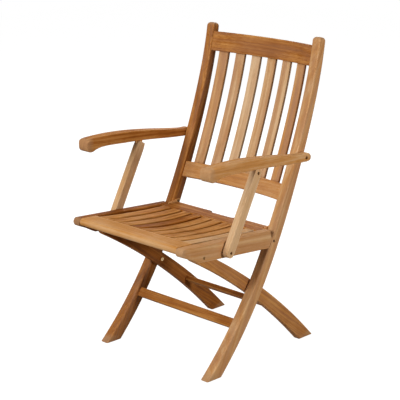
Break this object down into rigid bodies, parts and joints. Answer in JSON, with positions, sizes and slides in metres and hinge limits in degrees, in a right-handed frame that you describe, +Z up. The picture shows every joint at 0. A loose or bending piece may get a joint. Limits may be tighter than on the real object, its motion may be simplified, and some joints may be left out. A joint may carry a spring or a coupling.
{
  "type": "folding armchair",
  "caption": "Folding slatted wooden armchair with curved crossed legs, a dished seat, a slatted back and flat arms on turning struts.",
  "frame": {"origin": "on the floor, under the middle of the open chair's bounding box", "axes": "+Z up, the seat faces -Y, +X is the sitter's left"},
  "size_m": [0.527, 0.5892, 0.91],
  "materials": {
    "teak": "oiled satin",
    "steel": "brushed",
    "brass": "dulled"
  },
  "bodies": {
    "back_frame": {"left_long_leg": "teak", "right_long_leg": "teak", "crest_rail": "teak", "lower_back_rail": "teak", "back_slat_1": "teak", "back_slat_2": "teak", "back_slat_3": "teak", "back_slat_4": "teak", "back_slat_5": "teak", "back_slat_6": "teak", "front_stretcher": "teak", "left_hinge_plate": "steel", "right_hinge_plate": "steel", "left_hinge_pin": "steel", "right_hinge_pin": "steel", "left_plate_bolt": "steel", "right_plate_bolt": "steel", "left_plate_screw": "steel", "right_plate_screw": "steel", "left_cross_bolt": "brass", "right_cross_bolt": "brass", "left_cross_washer": "steel", "right_cross_washer": "steel", "left_arm_bolt": "brass", "right_arm_bolt": "brass"},
    "rear_legs": {"left_short_leg": "teak", "right_short_leg": "teak", "rear_stretcher": "teak", "left_slide_pin": "steel", "right_slide_pin": "steel"},
    "seat": {"left_side_rail": "teak", "right_side_rail": "teak", "front_rail": "teak", "rear_rail": "teak", "seat_slat_1": "teak", "seat_slat_2": "teak", "seat_slat_3": "teak", "seat_slat_4": "teak", "seat_slat_5": "teak", "seat_slat_6": "teak", "seat_slat_7": "teak", "seat_slat_8": "teak", "seat_slat_9": "teak", "left_stop_bolt": "brass", "right_stop_bolt": "brass", "left_strut_foot_bolt": "brass", "right_strut_foot_bolt": "brass", "left_strut_washer": "steel", "right_strut_washer": "steel"},
    "left_arm": {"left_arm": "teak", "left_arm_bracket": "steel"},
    "right_arm": {"right_arm": "teak", "right_arm_bracket": "steel"},
    "left_strut": {"left_strut": "teak", "left_strut_top_bolt": "brass"},
    "right_strut": {"right_strut": "teak", "right_strut_top_bolt": "brass"}
  },
  "joints": [
    {"name": "seat_fold", "type": "hinge", "parent": "back_frame", "child": "seat", "pos_m": [0, 0.06343, 0.37687], "axis": [-1, 0, 0], "range_deg": [0, 90]},
    {"name": "rear_legs_fold", "type": "hinge", "parent": "back_frame", "child": "rear_legs", "pos_m": [0, 0.00672, 0.222], "axis": [-1, 0, 0], "range_deg": [0, 61.73]},
    {"name": "left_arm_fold", "type": "hinge", "parent": "back_frame", "child": "left_arm", "pos_m": [0.2432, 0.17055, 0.5816], "axis": [-1, 0, 0], "range_deg": [0, 90]},
    {"name": "right_arm_fold", "type": "hinge", "parent": "back_frame", "child": "right_arm", "pos_m": [-0.2432, 0.17055, 0.5816], "axis": [-1, 0, 0], "range_deg": [0, 90]},
    {"name": "left_strut_fold", "type": "hinge", "parent": "seat", "child": "left_strut", "pos_m": [0.2335, -0.12882, 0.36532], "axis": [-1, 0, 0], "range_deg": [-90, 0]},
    {"name": "right_strut_fold", "type": "hinge", "parent": "seat", "child": "right_strut", "pos_m": [-0.2335, -0.12882, 0.36532], "axis": [-1, 0, 0], "range_deg": [-90, 0]}
  ],
  "couplings": [
    {"joint": "rear_legs_fold", "follows": "seat_fold", "ratio": 0.6853},
    {"joint": "left_arm_fold", "follows": "seat_fold", "ratio": 1},
    {"joint": "right_arm_fold", "follows": "seat_fold", "ratio": 1},
    {"joint": "left_strut_fold", "follows": "seat_fold", "ratio": -1},
    {"joint": "right_strut_fold", "follows": "seat_fold", "ratio": -1}
  ]
}
